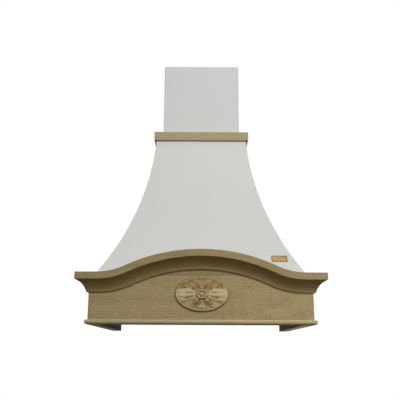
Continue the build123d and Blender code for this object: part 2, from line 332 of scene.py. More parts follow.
class Finish:
    """What a piece is made of or painted with; each kind builds its own material."""

    word: ClassVar[str] = "plain"

    def material(self) -> Material:
        """Builds a plain material."""
        return Graph().material

    def named(self, name: str) -> Material:
        """Builds the material for one piece.

        Args:
            name: the piece's name, which the material takes after the finish's word.

        Returns:
            The material.
        """
        material = self.material()
        material.name = f"{self.word}_{name}"
        return material


def grain_axes(graph: Graph, along: Along, seed: float) -> tuple[Flow, Flow, Flow]:
    """The place along and across the grain, moved so that no two pieces match.

    Args:
        graph: the material being built.
        along: the grain's axis.
        seed: a number that sets where in the tree the piece was cut.

    Returns:
        The distance along the grain and the two distances across it.
    """
    axes = graph.axes()
    run = axes[along.value] + seed
    across, through = [axes[k] for k in range(3) if k != along.value]
    return run, across + seed * 0.37, through + seed * 0.61


def growth_rings(across: Flow, through: Flow, sway: Flow, pith: Pair, spacing: float) -> Flow:
    """Rings from 0 to 1 round a pith that lies beside the board."""
    from_pith = ((across + pith[0]) ** 2.0 + (through + pith[1]) ** 2.0).root() + sway
    return (from_pith * (2.0 * math.pi / spacing)).sine() * 0.5 + 0.5


@dataclass(frozen=True)
class Mark:
    """Another colour, or painted shade, on the surfaces that face one way."""

    toward: Direction
    share: float
    span: Pair = (0.15, 0.75)
    colour: Colour = (0.0, 0.0, 0.0)

    def lay(self, graph: Graph, under: Flow) -> Flow:
        """Lays the mark over a colour."""
        mask = graph.smooth_step(graph.facing(self.toward), *self.span)
        return graph.blend(mask * self.share, under, self.colour)


@dataclass(frozen=True)
class RawOak(Finish):
    """Sanded oak with no finish on it.

    The painted light drift makes it lighter towards +X, per metre, as painted light from the
    right; bow lets the grain run downhill there.
    """

    word: ClassVar[str] = "oak"
    along: Along
    seed: float
    tone: float = 1.0
    pale: float = 0.0
    dark: Colour = (0.275, 0.206, 0.093)
    middle: Colour = (0.395, 0.312, 0.152)
    light: Colour = (0.505, 0.415, 0.218)
    pink: Colour = (0.440, 0.310, 0.180)
    pale_wood: Colour = (0.560, 0.520, 0.395)
    olive: Colour = (0.370, 0.335, 0.140)
    painted_light_drift: float = 0.0
    bow: float = 0.0
    bow_span: Pair = (0.02, 0.36)
    marks: tuple[Mark, ...] = ()
    roughness: float = 0.8
    sheen: float = 0.10
    relief: Relief = Relief(0.25 * MM, 0.35)
    pith: Pair = (0.11, 0.07)
    ring_spacing: float = 6.5 * MM
    ring_sway: float = 0.02
    grain_sway: float = 0.03
    sways: Streaks = Streaks(5.0, 7.0, 2.0)
    bands: Streaks = Streaks(4.0, 42.0)
    flecks: Streaks = Streaks(95.0, 430.0)
    fibres: Streaks = Streaks(130.0, 1700.0, 2.0)
    patches: Streaks = Streaks(27.0, 85.0, 2.0)
    pores: Streaks = Streaks(160.0, 2100.0, 1.0)
    pore_span: Pair = (0.58, 0.74)
    pore_loss: float = 0.20
    fibre_gain: float = 0.14
    pink_span: Pair = (0.47, 0.74)
    pink_share: float = 0.74
    olive_span: Pair = (0.50, 0.28)
    olive_share: float = 0.54

    def wood(self, graph: Graph) -> tuple[Flow, Flow]:
        """Draws the bare wood.

        Args:
            graph: the material being built.

        Returns:
            The colour and the bump's height.
        """
        run, across, through = grain_axes(graph, self.along, self.seed)
        sway = graph.streaks((run, across, through), self.sways)
        leaning = across + sway * self.grain_sway
        if self.bow:
            leaning = leaning + graph.smooth_step(graph.axes()[0], *self.bow_span) * self.bow
        bands, flecks, fibres, pores = (graph.streaks((run, leaning, through), kind) for kind in
                                        (self.bands, self.flecks, self.fibres, self.pores))
        rings = growth_rings(leaning, through, sway * self.ring_sway, self.pith,
                             self.ring_spacing)
        colour = graph.ramp(bands * 0.34 + flecks * 0.57 + rings * 0.09,
                            [(0.27, self.dark), (0.50, self.middle), (0.73, self.light)])
        patch = graph.streaks((run, across, through), self.patches)
        for hue, span, share in ((self.pink, self.pink_span, self.pink_share),
                                 (self.olive, self.olive_span, self.olive_share)):
            colour = graph.blend(graph.smooth_step(patch, *span) * share, colour, hue)
        pores = graph.smooth_step(pores, *self.pore_span)
        # Painted light: lighter towards +X.
        tone = graph.axes()[0] * self.painted_light_drift + self.tone if self.painted_light_drift else self.tone
        colour = graph.tint(colour, tone + (fibres - 0.5) * self.fibre_gain
                            - pores * self.pore_loss)
        if self.pale:
            colour = graph.blend(self.pale, colour, self.pale_wood)
        return colour, fibres * 0.4 + flecks * 0.3 - pores * 0.6

    def touch(self, graph: Graph, colour: Flow) -> Flow:
        """The colour as it is; a kind of oak changes it here."""
        return colour

    def material(self) -> Material:
        """Builds the material.

        Returns:
            The wood with its marks over it.
        """
        graph = Graph()
        colour, height = self.wood(graph)
        colour = self.touch(graph, colour)
        for mark in self.marks:
            colour = mark.lay(graph, colour)
        graph.shade(Specular_IOR_Level=self.sheen)
        return graph.finish(colour, self.roughness, height, self.relief)


@dataclass(frozen=True)
class FrontOak(RawOak):
    """Oak with a painted highlight along its top edge, and a painted shadow round the carving
    glued on it.
    """

    edge_top: float = 0.0
    highlight_width: float = 3.0 * MM
    highlight_gain: float = 0.08
    painted_shadow: Colour = (0.170, 0.128, 0.045)
    shadow_share: float = 0.58
    glue_shift: float = 1.2 * MM
    shadow_span: Pair = (1.14, 0.99)

    def touch(self, graph: Graph, colour: Flow) -> Flow:
        """Paints a highlight along the top edge and a shadow round the carving.

        Args:
            graph: the material being built.
            colour: the wood's colour.

        Returns:
            The front board's colour.
        """
        x, _, z = graph.axes()
        low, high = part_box("rosette")
        middle, half = (low + high) / 2, (high - low) / 2
        across = (x - (middle.x - self.glue_shift)) / half.x
        up = (z - (middle.z - self.glue_shift)) / half.z
        # Painted shadow round the carving, its ring shifted down and to the left.
        shadow = graph.smooth_step((across * across + up * up).root(), *self.shadow_span)
        colour = graph.blend(shadow * self.shadow_share, colour, self.painted_shadow)
        # Painted highlight along the board's top edge.
        edge = graph.smooth_step(z, self.edge_top - self.highlight_width, self.edge_top)
        return graph.tint(colour, edge * self.highlight_gain + 1.0)


@dataclass(frozen=True)
class CarvedOak(RawOak):
    """Oak of the carving: paler on the petals from wear and painted highlight, dark in the
    hollows from dirt and painted shade, and browner above and below the side petals from painted
    shade.
    """

    dark: Colour = (0.360, 0.272, 0.128)
    middle: Colour = (0.505, 0.402, 0.210)
    light: Colour = (0.640, 0.530, 0.310)
    pink: Colour = (0.470, 0.345, 0.190)
    grime_and_shade: Colour = (0.125, 0.082, 0.020)
    brown: Colour = (0.320, 0.218, 0.090)
    wear_and_highlight: Colour = (0.670, 0.545, 0.300)
    relief: Relief = Relief(0.2 * MM, 0.3)
    wear_and_highlight_share: float = 0.55
    grime_and_shade_share: float = 0.71
    brown_scale: float = 110.0
    brown_span: Pair = (0.36, 0.64)

    def touch(self, graph: Graph, colour: Flow) -> Flow:
        """Lays wear and painted highlight, painted brown shade, and dirt and painted shade over
        the wood.

        Args:
            graph: the material being built.
            colour: the wood's colour.

        Returns:
            The carving's colour.
        """
        cloud = graph.smooth_step(graph.noise(graph.place(), self.brown_scale, 3.0),
                                  *self.brown_span)
        # Wear and painted highlight on the petals, ridges, bead and floret.
        colour = graph.blend(graph.attribute("wear_and_highlight") * self.wear_and_highlight_share, colour, self.wear_and_highlight)
        # Painted brown shade, broken up by a cloud of noise.
        colour = graph.blend(graph.attribute("brown_shade") * (0.48 + cloud * 0.52), colour, self.brown)
        # Dirt and painted shade in the hollows, and painted shade on the rim's wall.
        return graph.blend(graph.attribute("grime_and_shade") * self.grime_and_shade_share, colour, self.grime_and_shade)


@dataclass(frozen=True)
class SatinPaint(Finish):
    """Warm off-white paint on the outside of a panel, raw board on its inside and edges.

    The painted shade rate makes the paint darker per metre above a level, as painted shade
    towards the top.
    """

    word: ClassVar[str] = "paint"
    outward: Direction
    paint: Colour = (0.622, 0.628, 0.596)
    board: Colour = (0.520, 0.400, 0.250)
    painted_shade_rate: float = 0.0
    level: float = 0.0
    cloud_scale: float = 5.0
    peel_scale: float = 700.0
    dust_scale: float = 1900.0
    board_grain: tuple[float, float, float] = (60.0, 60.0, 600.0)
    painted_span: Pair = (-0.15, 0.10)
    relief: Relief = Relief(0.12 * MM, 0.22)

    def material(self) -> Material:
        """Builds the material.

        Returns:
            Paint where the surface faces outward, and board elsewhere.
        """
        graph = Graph()
        place = graph.place()
        _, _, z = graph.axes()
        cloud = graph.noise(place, self.cloud_scale)
        peel = graph.noise(place, self.peel_scale, 2.0, 0.6)
        dust = graph.noise(place, self.dust_scale, 1.0)
        painted = graph.smooth_step(graph.facing(self.outward), *self.painted_span)
        # Painted shade: darker per metre above the level.
        coat = graph.tint(self.paint, 0.985 + (cloud - 0.5) * 0.045 + (dust - 0.5) * 0.03
                          - (z - self.level) * self.painted_shade_rate)
        fibre = graph.grain(self.board_grain)
        colour = graph.blend(painted, graph.tint(self.board, 0.9 + fibre * 0.25), coat)
        roughness = 0.72 - painted * (0.26 - cloud * 0.08)
        return graph.finish(colour, roughness, peel * 0.7 + cloud * 0.3, self.relief)


@dataclass(frozen=True)
class Plywood(Finish):
    """Birch plywood: pale faces, and edges that show the plies."""

    word: ClassVar[str] = "plywood"
    thickness_axis: Direction
    ply: float = 1.5 * MM
    pale: Colour = (0.640, 0.495, 0.315)
    brown: Colour = (0.400, 0.275, 0.150)
    edge_span: Pair = (0.95, 0.75)
    wave_scale: float = 30.0
    flecks: tuple[float, float, float] = (240.0, 240.0, 30.0)
    roughness: float = 0.7
    relief: Relief = Relief(0.2 * MM, 0.3)

    def material(self) -> Material:
        """Builds the material.

        Returns:
            Birch with every second ply browner where its edge shows.
        """
        graph = Graph()
        place = graph.place()
        depth = graph.dot(place, self.thickness_axis)
        wave = graph.noise(place, self.wave_scale)
        turned = ((depth + 1.0) / (2.0 * self.ply) + wave * 0.15).fraction().greater(0.5)
        squareness = graph.facing(self.thickness_axis).absolute()
        turned = turned * graph.smooth_step(squareness, *self.edge_span)
        fleck = graph.grain(self.flecks)
        colour = graph.ramp(fleck, [(0.25, self.brown), (0.42, self.pale)])
        colour = graph.blend(turned * 0.75, colour, self.brown)
        return graph.finish(colour, self.roughness, fleck + turned, self.relief)


@dataclass(frozen=True)
class PlanedPine(Finish):
    """Planed pine of the battens and rails inside."""

    word: ClassVar[str] = "pine"
    along: Along
    seed: float
    tone: float = 1.0
    early: Colour = (0.690, 0.520, 0.305)
    late: Colour = (0.480, 0.300, 0.130)
    pith: Pair = (0.05, 0.04)
    ring_spacing: float = 3.6 * MM
    sways: Streaks = Streaks(4.0, 9.0, 2.0)
    fibres: Streaks = Streaks(30.0, 900.0)
    ring_sway: float = 0.012
    roughness: float = 0.6
    sheen: float = 0.2
    relief: Relief = Relief(0.15 * MM, 0.3)

    def material(self) -> Material:
        """Builds the material.

        Returns:
            Pine with its late wood in fine rings.
        """
        graph = Graph()
        axes = grain_axes(graph, self.along, self.seed)
        sway = graph.streaks(axes, self.sways) * self.ring_sway
        rings = growth_rings(axes[1], axes[2], sway, self.pith, self.ring_spacing)
        fibre = graph.streaks(axes, self.fibres)
        colour = graph.ramp(rings * 0.6 + fibre * 0.4, [(0.35, self.early), (0.85, self.late)])
        colour = graph.tint(colour, fibre * 0.1 + (self.tone - 0.05))
        graph.shade(Specular_IOR_Level=self.sheen)
        return graph.finish(colour, self.roughness, fibre * 0.6 + rings * 0.4, self.relief)


@dataclass(frozen=True)
class BrushedBrass(Finish):
    """Brushed brass sheet, warmer in patches and darker round its border."""

    word: ClassVar[str] = "brushed"
    metal: Colour = (0.300, 0.205, 0.088)
    warm: Colour = (0.285, 0.160, 0.045)
    darker_border: Colour = (0.085, 0.062, 0.018)
    brushing: Streaks = Streaks(60.0, 2500.0)
    patina_scale: float = 75.0
    patina_span: Pair = (0.46, 0.66)
    patina_share: float = 0.80
    border_share: float = 0.85
    relief: Relief = Relief(0.05 * MM, 0.3)

    def material(self) -> Material:
        """Builds the material.

        Returns:
            Brass brushed along X.
        """
        graph = Graph()
        brush = graph.streaks(graph.axes(), self.brushing)
        patina = graph.smooth_step(graph.noise(graph.place(), self.patina_scale),
                                   *self.patina_span)
        colour = graph.blend(patina * self.patina_share, self.metal, self.warm)
        # Darker on the raised border.
        colour = graph.blend(graph.attribute("border") * self.border_share, colour, self.darker_border)
        graph.shade(Metallic=1.0)
        return graph.finish(graph.tint(colour, 0.9 + brush * 0.2), 0.30 + brush * 0.18,
                            brush, self.relief)


@dataclass(frozen=True)
class ZincSteel(Finish):
    """Zinc-plated steel of the screws."""

    word: ClassVar[str] = "zinc"
    metal: Colour = (0.62, 0.61, 0.57)
    cloud_scale: float = 420.0
    relief: Relief = Relief(0.03 * MM, 0.2)

    def material(self) -> Material:
        """Builds the material.

        Returns:
            Zinc with a cloudy shine.
        """
        graph = Graph()
        cloud = graph.noise(graph.place(), self.cloud_scale, 3.0)
        graph.shade(Metallic=1.0)
        return graph.finish(graph.tint(self.metal, 0.82 + cloud * 0.3), 0.28 + cloud * 0.2,
                            cloud, self.relief)


def dress(node: str, finish: Finish) -> None:
    """Gives a CAD node its finish.

    Args:
        node: the node's name.
        finish: what it is made of or painted with.
    """
    material = finish.named(node)
    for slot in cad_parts[node].material_slots:
        slot.material = material
    LOG.info("dressed %s in %s", node, type(finish).__name__)


def new_object(name: str, mesh: Mesh, finish: Finish) -> bpy.types.Object:
    """Makes an object of a bmesh, smooth but for its sharp edges.

    Args:
        name: the new object's name.
        mesh: the bmesh, placed in the CAD frame; it is freed.
        finish: what it is made of.

    Returns:
        The new object.
    """
    data = bpy.data.meshes.new(name)
    mesh.to_mesh(data)
    mesh.free()
    for polygon in data.polygons:
        polygon.use_smooth = True
    data.set_sharp_from_angle(angle=SHARP_EDGE)
    data.materials.append(finish.named(name))
    made = bpy.data.objects.new(name, data)
    bpy.context.scene.collection.objects.link(made)
    LOG.info("built %s: %d vertices", name, len(data.vertices))
    return made


def add_piece(name: str, mesh: Mesh, finish: Finish, body: str) -> bpy.types.Object:
    """Makes a new piece of the object and lets it ride on a body.

    Args:
        name: the new piece's name.
        mesh: the bmesh, placed in the CAD frame; it is freed.
        finish: what it is made of.
        body: the CAD body it rides on.

    Returns:
        The new piece.
    """
    piece = new_object(name, mesh, finish)
    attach(piece, body)
    return piece


# ---- the oak


@dataclass
class OakBox:
    """Boards, ledges and crown of the box, each cut from its own board."""

    board_tone: float = 0.955
    arch_tone: float = 0.71
    crown_tone: float = 0.93
    ledge_tone: float = 1.48
    ledge_pale: float = 0.28
    # Painted light: these make the oak lighter towards +X, per metre.
    ledge_painted_light_drift: float = 1.00
    painted_light_drift: float = 0.42
    crown_painted_light_drift: float = 0.34
    bow: float = 0.080
    # Painted shade where the cove faces down under the fascia.
    cove_shade: Mark = Mark((0.0, -0.25, -0.97), share=0.78, span=(0.07, 0.75),
                      colour=(0.170, 0.105, 0.028))
    # Painted shade under the ledges' noses, where they turn down.
    nose_shade: Mark = Mark(DOWN, share=0.52, span=(-0.50, 0.70))
    # Underside colours of the front, left and right ledges; the left one is painted darker and
    # the right one lighter, as painted shade and painted light.
    sawn_front: Colour = (0.120, 0.110, 0.052)
    underside_left_painted_shade: Colour = (0.320, 0.305, 0.215)
    underside_right_painted_light: Colour = (0.900, 0.870, 0.730)
    # Shares of painted shade on the ledges' inner sides: the first for the front and left ledges,
    # the second for the right.
    inner_shade_shares: Pair = (0.76, 0.58)
    shaded: Colour = (0.070, 0.060, 0.035)

    def crown(self, along: Along, seed: float) -> RawOak:
        """The crown's oak, with painted brown shade in the hollow of its cove."""
        return RawOak(along, seed, self.crown_tone, painted_light_drift=self.crown_painted_light_drift, bow=self.bow,
                      marks=(self.cove_shade,))

    def ledge(self, along: Along, seed: float, inward: Direction, inner_shade_share: float,
              underside: Colour) -> RawOak:
        """A ledge's oak: painted shade under its nose and on its inner side, and the underside's
        own colour underneath.
        """
        marks = (self.nose_shade, Mark(inward, share=inner_shade_share, span=(0.30, 0.90)),
                 Mark(DOWN, share=0.95, span=(0.90, 0.99), colour=underside))
        return RawOak(along, seed, self.ledge_tone, self.ledge_pale, sheen=0.04,
                      painted_light_drift=self.ledge_painted_light_drift, marks=marks)

    def dress(self) -> None:
        """Gives every oak node of the box a finish with the grain along its length."""
        dress("front_board", FrontOak(Along.X, seed=1.3, tone=self.board_tone, painted_light_drift=self.painted_light_drift,
                                      bow=self.bow, edge_top=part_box("front_board")[1].z))
        dress("arch_board", RawOak(Along.X, seed=12.4, tone=self.arch_tone, painted_light_drift=self.painted_light_drift))
        dress("arched_crown", self.crown(Along.X, seed=6.4))
        dress("front_ledge", self.ledge(Along.X, seed=4.0, inward=BACK,
                                        inner_shade_share=self.inner_shade_shares[0], underside=self.sawn_front))
        for (hand, sign), seed, inner_shade_share, underside in zip(HANDS, (21.0, 33.0), self.inner_shade_shares,
                                                  (self.underside_left_painted_shade, self.underside_right_painted_light)):
            inward = (-sign, 0.0, 0.0)
            # Painted shade on the side board's inner face.
            inner_face_shade = Mark(inward, share=0.9, colour=self.shaded)
            dress(f"{hand}_side_board", RawOak(Along.Y, seed, self.board_tone,
                                               marks=(inner_face_shade,)))
            dress(f"{hand}_ledge", self.ledge(Along.Y, seed + 2.7, inward, inner_shade_share, underside))
            dress(f"{hand}_crown_return", self.crown(Along.Y, seed + 5.1))


@dataclass
class OakBand:
    """The flat band on top of the dome."""

    tone: float = 1.05
    pale: float = 0.28

    def dress(self) -> None:
        """Gives the three runs a finish with the grain along each."""
        for side, along, seed in (("front", Along.X, 41.0), ("left", Along.Y, 43.5),
                                  ("right", Along.Y, 46.2)):
            dress(f"{side}_band", RawOak(along, seed, self.tone, self.pale))


def fade(value: float, low: float, high: float) -> float:
    """0 below low, 1 above high, and smooth between."""
    part = max(0.0, min(1.0, (value - low) / (high - low)))
    return part * part * (3.0 - 2.0 * part)


def swell(value: float, middle: float, width: float) -> float:
    """1 at the middle, falling smoothly to 0 beside it."""
    return math.exp(-((value - middle) / width) ** 2)


class Side(Enum):
    """The half of the carving that a stroke is cut in."""

    BOTH = 0
    LEFT = -1
    RIGHT = 1


@dataclass(frozen=True)
class Stroke:
    """A ridge (positive height) or a gouge (negative) of the carving.

    Places are fractions of the oval's half width and half height; widths are fractions of
    its half width. The stroke is given for the right half.
    """

    start: Pair
    end: Pair
    width: float
    height: float
    side: Side = Side.BOTH

    def weight(self, u: float, v: float, aspect: float) -> float:
        """How strongly the stroke acts at a place, 0 to 1.

        Args:
            u: place across, from -1 to 1.
            v: place up, from -1 to 1.
            aspect: the oval's height over its width.

        Returns:
            1 on the stroke's line, falling smoothly to 0 beside it.
        """
        if u * self.side.value < 0.0:
            return 0.0
        u = abs(u)
        run_u, run_v = self.end[0] - self.start[0], (self.end[1] - self.start[1]) * aspect
        off_u, off_v = u - self.start[0], (v - self.start[1]) * aspect
        along = (off_u * run_u + off_v * run_v) / (run_u * run_u + run_v * run_v)
        along = max(0.0, min(1.0, along))
        gap = math.hypot(off_u - along * run_u, off_v - along * run_v)
        return swell(gap, 0.0, self.width) if gap < 3.0 * self.width else 0.0


@dataclass
class Spot:
    """The carving at one place: its height over the board, and how its wood looks: dirt and
    painted shade, painted brown shade, wear and painted highlight.
    """

    height: float
    grime_and_shade: float = 0.0
    brown_shade: float = 0.0
    wear_and_highlight: float = 0.0


@dataclass(frozen=True)
class Floret:
    """The small flower of cupped petals in the middle; heights are over the board."""

    reach: float = 0.222
    squeeze: float = 0.82
    drop: float = 0.03
    petals: int = 6
    base: float = 8.4 * MM
    rim_rise: float = 3.0 * MM
    cup_depth: float = 2.6 * MM
    bud_rise: float = 3.2 * MM
    moat_depth: float = 1.4 * MM

    def cover(self, u: float, v: float, spot: Spot) -> None:
        """Lays the flower over the carving at a place.

        Args:
            u: place across, from -1 to 1.
            v: place up, from -1 to 1.
            spot: the carving there, which is changed.
        """
        v = (v + self.drop) * self.squeeze
        reach, angle = math.hypot(u, v), math.atan2(v, u)
        if reach > self.reach + 0.12:
            return
        lobe = 0.5 + 0.5 * math.cos(angle * self.petals)
        edge = self.reach * (0.90 + 0.13 * lobe)
        part = reach / edge
        rim = swell(part, 0.84, 0.15)
        cup = swell(part, 0.55, 0.15) * (0.30 + 0.70 * lobe)
        bud = swell(part, 0.0, 0.27)
        flower = (self.base + self.rim_rise * rim * (0.7 + 0.3 * lobe) - self.cup_depth * cup
                  + self.bud_rise * bud)
        outside = fade(part, 0.95, 1.08)
        inside = 1.0 - outside
        moat = swell(reach - edge, 0.025, 0.024) * outside
        moat *= 0.45 + 0.55 * fade(-v, -0.05, 0.10)
        spot.height = spot.height * outside + flower * inside - self.moat_depth * moat
        # The cups and the moat take dirt and painted shade; the rim and the bud take wear and
        # painted highlight.
        spot.grime_and_shade = spot.grime_and_shade * outside + 1.2 * cup * inside + 0.6 * moat
        spot.wear_and_highlight = spot.wear_and_highlight * outside + (1.2 * rim + bud) * inside
        spot.brown_shade *= outside


@dataclass
class Rosette:
    """The carved oval: smooth petals to the sides, thin ridges below, a cupped floret."""

    segments: int = 320
    rings: int = 88
    tone: float = 0.97
    # Painted light: the carving lighter towards +X, per metre.
    painted_light_drift: float = 1.50
    wall: float = 4.8 * MM
    body: float = 6.0 * MM
    side_petal: float = 2.6 * MM
    over_drop: float = 1.0 * MM
    below_drop: float = 0.5 * MM
    bead: float = 0.5 * MM
    deepest: float = 2.6 * MM
    chisel: float = 0.5 * MM
    least: float = 1.2 * MM
    top: float = 13.0 * MM
    rim_rings: float = 2.0
    floret: Floret = Floret()
    strokes: tuple[Stroke, ...] = (
        Stroke((0.30, -0.08), (0.93, -0.09), 0.046, 0.8 * MM),
        Stroke((0.34, 0.15), (0.80, 0.17), 0.060, 0.5 * MM),
        Stroke((0.26, -0.22), (0.66, -0.40), 0.028, 1.4 * MM),
        Stroke((0.19, -0.37), (0.42, -0.77), 0.030, 2.6 * MM),
        Stroke((0.00, -0.40), (0.00, -0.60), 0.038, 0.6 * MM),
        Stroke((0.01, -0.72), (0.12, -0.85), 0.026, 1.7 * MM),
        Stroke((0.00, 0.38), (0.00, 0.54), 0.060, 1.2 * MM),
        Stroke((0.46, 0.44), (0.56, 0.42), 0.090, 0.8 * MM),
        Stroke((0.28, 0.36), (0.38, 0.52), 0.050, 0.8 * MM, Side.LEFT),
        Stroke((0.70, -0.34), (0.84, -0.40), 0.030, 0.8 * MM),
        Stroke((0.36, 0.035), (0.58, 0.035), 0.034, -1.4 * MM),
        Stroke((0.35, -0.17), (0.60, -0.265), 0.048, -2.1 * MM),
        Stroke((0.60, -0.265), (0.82, -0.24), 0.050, -0.9 * MM),
        Stroke((0.66, -0.52), (0.78, -0.56), 0.036, -1.2 * MM),
        Stroke((0.28, -0.44), (0.39, -0.64), 0.044, -1.9 * MM),
        Stroke((0.24, -0.59), (0.33, -0.80), 0.055, -1.3 * MM, Side.LEFT),
        Stroke((0.26, -0.62), (0.36, -0.80), 0.045, -0.9 * MM, Side.RIGHT),
        Stroke((0.10, -0.52), (0.20, -0.64), 0.085, -2.3 * MM),
        Stroke((0.00, -0.87), (0.00, -0.90), 0.026, -1.4 * MM),
        Stroke((0.15, -0.84), (0.26, -0.82), 0.028, -1.0 * MM),
        Stroke((0.62, 0.345), (0.79, 0.345), 0.024, -1.8 * MM, Side.LEFT),
        Stroke((0.62, 0.36), (0.76, 0.40), 0.045, -1.1 * MM, Side.RIGHT),
        Stroke((0.32, 0.25), (0.36, 0.27), 0.042, -1.6 * MM),
        Stroke((0.12, 0.35), (0.14, 0.38), 0.050, -1.9 * MM),
        Stroke((0.14, 0.38), (0.19, 0.55), 0.038, -1.1 * MM),
        Stroke((0.40, 0.75), (0.56, 0.71), 0.036, -1.3 * MM),
        Stroke((0.68, 0.58), (0.76, 0.51), 0.036, -1.2 * MM),
        Stroke((0.04, 0.86), (0.16, 0.85), 0.036, -1.0 * MM),
        Stroke((0.24, 0.56), (0.50, 0.59), 0.036, -0.9 * MM, Side.RIGHT),
        Stroke((0.70, 0.54), (0.82, 0.48), 0.060, -0.7 * MM, Side.LEFT),
    )

    @staticmethod
    def petal_top(u: float) -> float:
        """The height of a side petal's upper edge, as a fraction of the half height."""
        inward, outward = max(0.0, 0.50 - abs(u)), max(0.0, abs(u) - 0.85)
        return 0.290 - 2.6 * inward ** 2 - 4.0 * outward ** 2

    def relief(self, u: float, v: float, reach: float, aspect: float) -> Spot:
        """The carving at a place.

        Args:
            u: place across, from -1 to 1.
            v: place up, from -1 to 1.
            reach: 0 at the middle, 1 at the rim.
            aspect: the oval's height over its width.

        Returns:
            The height over the board, and the place's dirt and painted shade, painted brown
            shade, and wear and painted highlight.
        """
        # The side petals, the field over them and the field below them.
        edge = self.petal_top(u)
        over = fade(v, edge - 0.015, edge + 0.030)
        foot = -0.09 - 0.48 * abs(u)
        petal = fade(abs(u), 0.16, 0.32) * fade(v, foot - 0.20, foot + 0.06) * (1.0 - over)
        below = (1.0 - fade(v, -0.15, 0.05)) * (1.0 - petal)
        height = (self.body + self.side_petal * petal - self.over_drop * over
                  - self.below_drop * below)
        # The side petals start with wear and painted highlight.
        spot = Spot(height, wear_and_highlight=0.55 * petal)
        for stroke in self.strokes:
            weight = stroke.weight(u, v, aspect)
            spot.height += stroke.height * weight
            # Ridges take wear and painted highlight, less in the field above; gouges take dirt
            # and painted shade.
            if stroke.height > 0.0:
                spot.wear_and_highlight += 1.05 * weight * (1.0 - 0.7 * over)
            else:
                spot.grime_and_shade -= stroke.height * weight / self.deepest
        # The bead along the rim, and inside it a trench that is deeper at the top and bottom. The
        # trench takes dirt and painted shade, the bead wear and painted highlight, more on its
        # lower half.
        lower = 1.0 - fade(v, -0.60, -0.30)
        upper = fade(v, 0.35, 0.60)
        bead, trench = swell(reach, 0.955, 0.022), swell(reach, 0.895, 0.028)
        spot.height += self.bead * (bead - (0.4 + lower + upper) * trench)
        spot.grime_and_shade += (0.05 + 0.20 * lower + 0.25 * upper) * trench
        spot.wear_and_highlight += bead * (0.3 + 0.4 * lower) * (1.0 - over)
        # Near the rim the carving falls towards the height of its wall.
        fall = 0.7 * fade(reach, 0.78, 1.0) ** 2
        spot.height = self.wall + (spot.height - self.wall) * (1.0 - fall)
        grime_and_shade = min(1.0, max(0.0, spot.grime_and_shade))
        # Painted brown shade over the field above the petals, where the crown's shade falls, and
        # over the field below, more in its hollows.
        spot.brown_shade = max(over * (1.0 - 0.5 * bead), below * (0.25 + 0.4 * grime_and_shade))
        self.floret.cover(u, v, spot)
        return spot

    def sculpt(self, mesh: Mesh) -> None:
        """Shapes a unit half sphere, seen from above, into the carving on the board.

        Args:
            mesh: the half sphere, which is changed.
        """
        low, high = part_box("rosette")
        centre, half = (low + high) / 2, (high - low) / 2
        layers = {name: mesh.verts.layers.float.new(name) for name in ("grime_and_shade", "brown_shade", "wear_and_highlight")}
        for vert in mesh.verts:
            polar = math.acos(max(-1.0, min(1.0, vert.co.z))) / (math.pi / 2)
            turn = math.atan2(vert.co.y, vert.co.x)
            reach = min(1.0, polar * self.rings / (self.rings - self.rim_rings))
            down_wall = max(0.0, 1.0 - (1.0 - polar) * self.rings / self.rim_rings)
            u, v = reach * math.cos(turn), reach * math.sin(turn)
            spot = self.relief(u, v, reach, half.z / half.x)
            # The wall round the rim takes full painted shade, standing in for the shadow it casts
            # on the board.
            spot.grime_and_shade = max(spot.grime_and_shade, down_wall)
            cut = noise.noise(Vector((u * 9.0, v * 7.0, 3.1))) * self.chisel
            height = min(self.top, max(self.least, spot.height + cut)) * (1.0 - down_wall)
            vert.co = Vector((centre.x + half.x * u, high.y - height, centre.z + half.z * v))
            for name, layer in layers.items():
                vert[layer] = max(0.0, min(1.0, getattr(spot, name)))

    def build(self) -> bpy.types.Object:
        """Carves the rosette and puts it in place of the CAD one.

        Returns:
            The rosette's object.
        """
        mesh = bmesh.new()
        bmesh.ops.create_uvsphere(mesh, u_segments=self.segments, v_segments=self.rings * 2,
                                  radius=1.0)
        bmesh.ops.bisect_plane(mesh, geom=mesh.verts[:] + mesh.edges[:] + mesh.faces[:],
                               plane_co=(0, 0, 0), plane_no=(0, 0, 1), clear_inner=True,
                               dist=1e-6)
        self.sculpt(mesh)
        bmesh.ops.contextual_create(mesh, geom=[e for e in mesh.edges if e.is_boundary])
        bmesh.ops.recalc_face_normals(mesh, faces=mesh.faces[:])
        finish = CarvedOak(Along.X, seed=61.0, tone=self.tone, painted_light_drift=self.painted_light_drift)
        piece = add_piece("carved_rosette", mesh, finish, body="cover")
        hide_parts("rosette")
        return piece


# ---- painted parts


